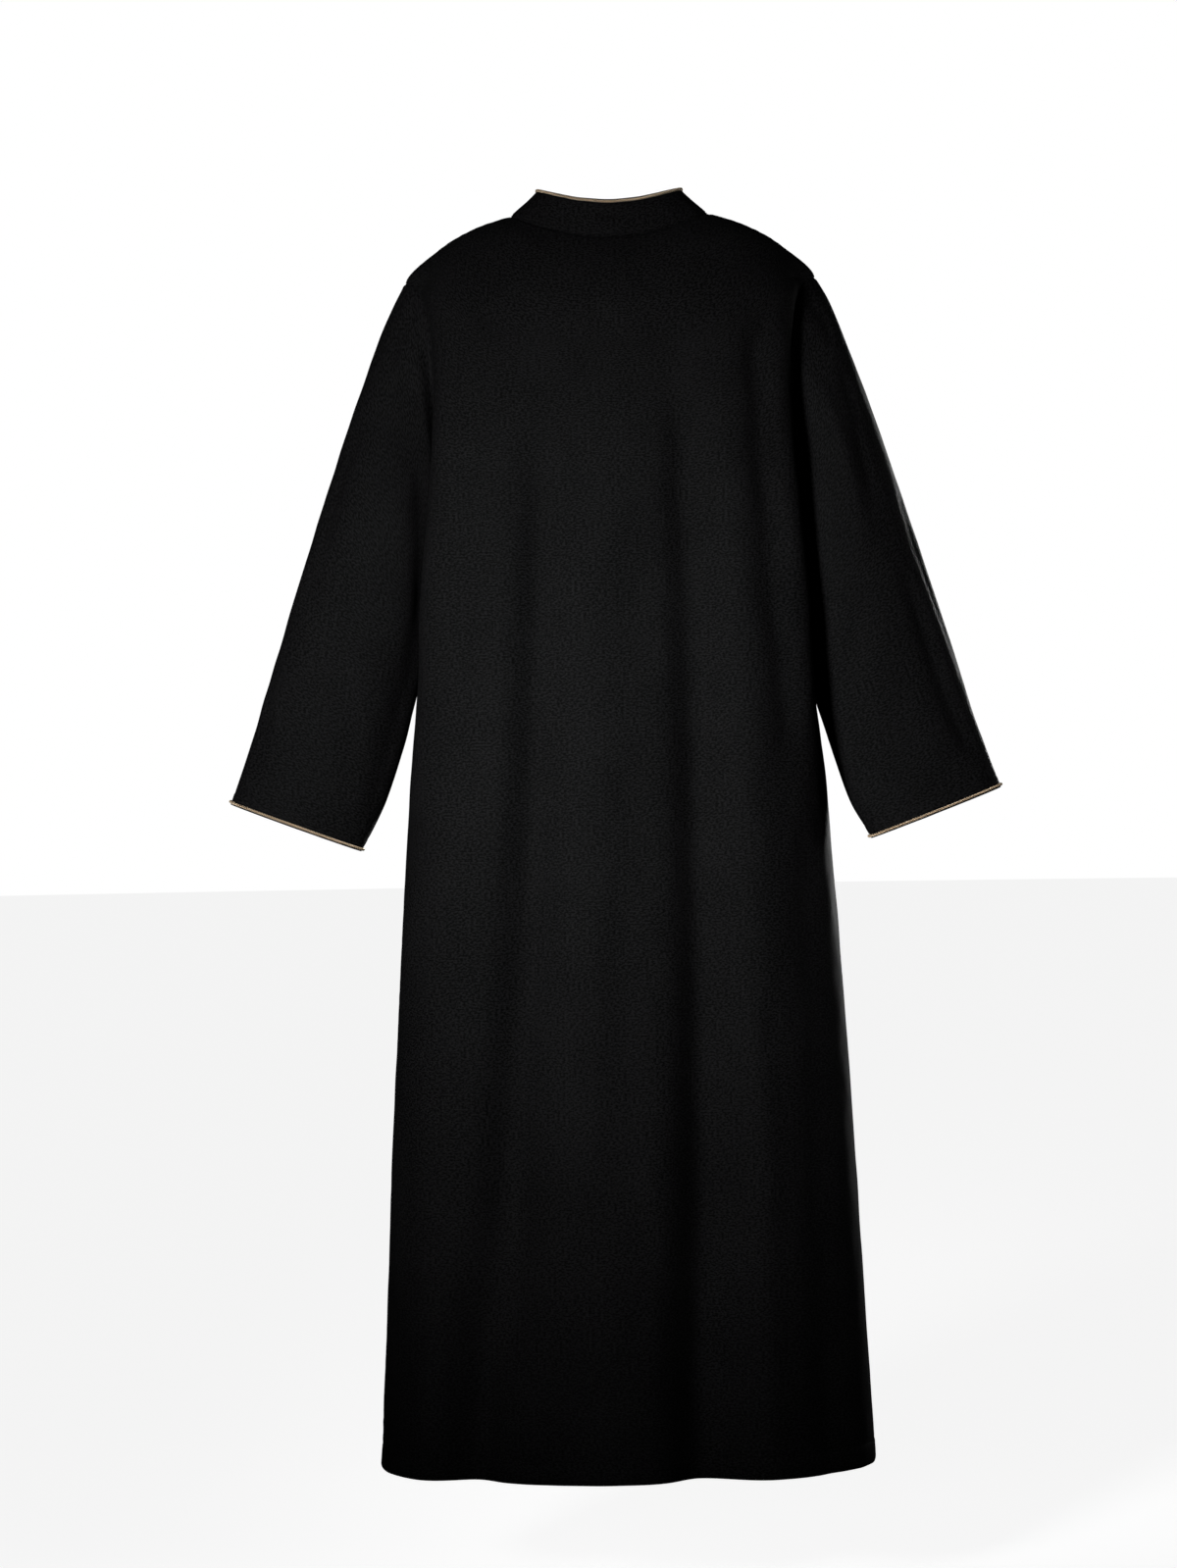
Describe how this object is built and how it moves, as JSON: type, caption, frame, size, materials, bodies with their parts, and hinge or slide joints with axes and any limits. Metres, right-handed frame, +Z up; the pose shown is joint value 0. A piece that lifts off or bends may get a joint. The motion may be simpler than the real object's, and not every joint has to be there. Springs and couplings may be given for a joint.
{
  "type": "thobe",
  "caption": "Ankle-length black robe, hollow as when worn, with stand collar, long set-in sleeves, buttoned placket and gold cord on collar and cuffs.",
  "frame": {"origin": "middle of the neck opening, level with the neck ends of the shoulder seams, where the wearer's shoulders hold the robe up", "axes": "+Z up, -Y towards the robe's front, +X towards the wearer's left"},
  "size_m": [0.8658, 0.3071, 1.4277],
  "materials": {
    "black_cloth": "matte",
    "gold_cord": "satin",
    "black_button": "gloss"
  },
  "bodies": {
    "root": {"back": "black_cloth", "front": "black_cloth", "sleeve_left": "black_cloth", "sleeve_right": "black_cloth", "collar": "black_cloth", "placket_over": "black_cloth", "placket_under": "black_cloth", "collar_piping": "gold_cord", "cuff_piping_left": "gold_cord", "cuff_piping_right": "gold_cord", "button_1": "black_button", "button_2": "black_button", "button_3": "black_button", "button_4": "black_button", "button_collar": "black_button"}
  },
  "joints": []
}
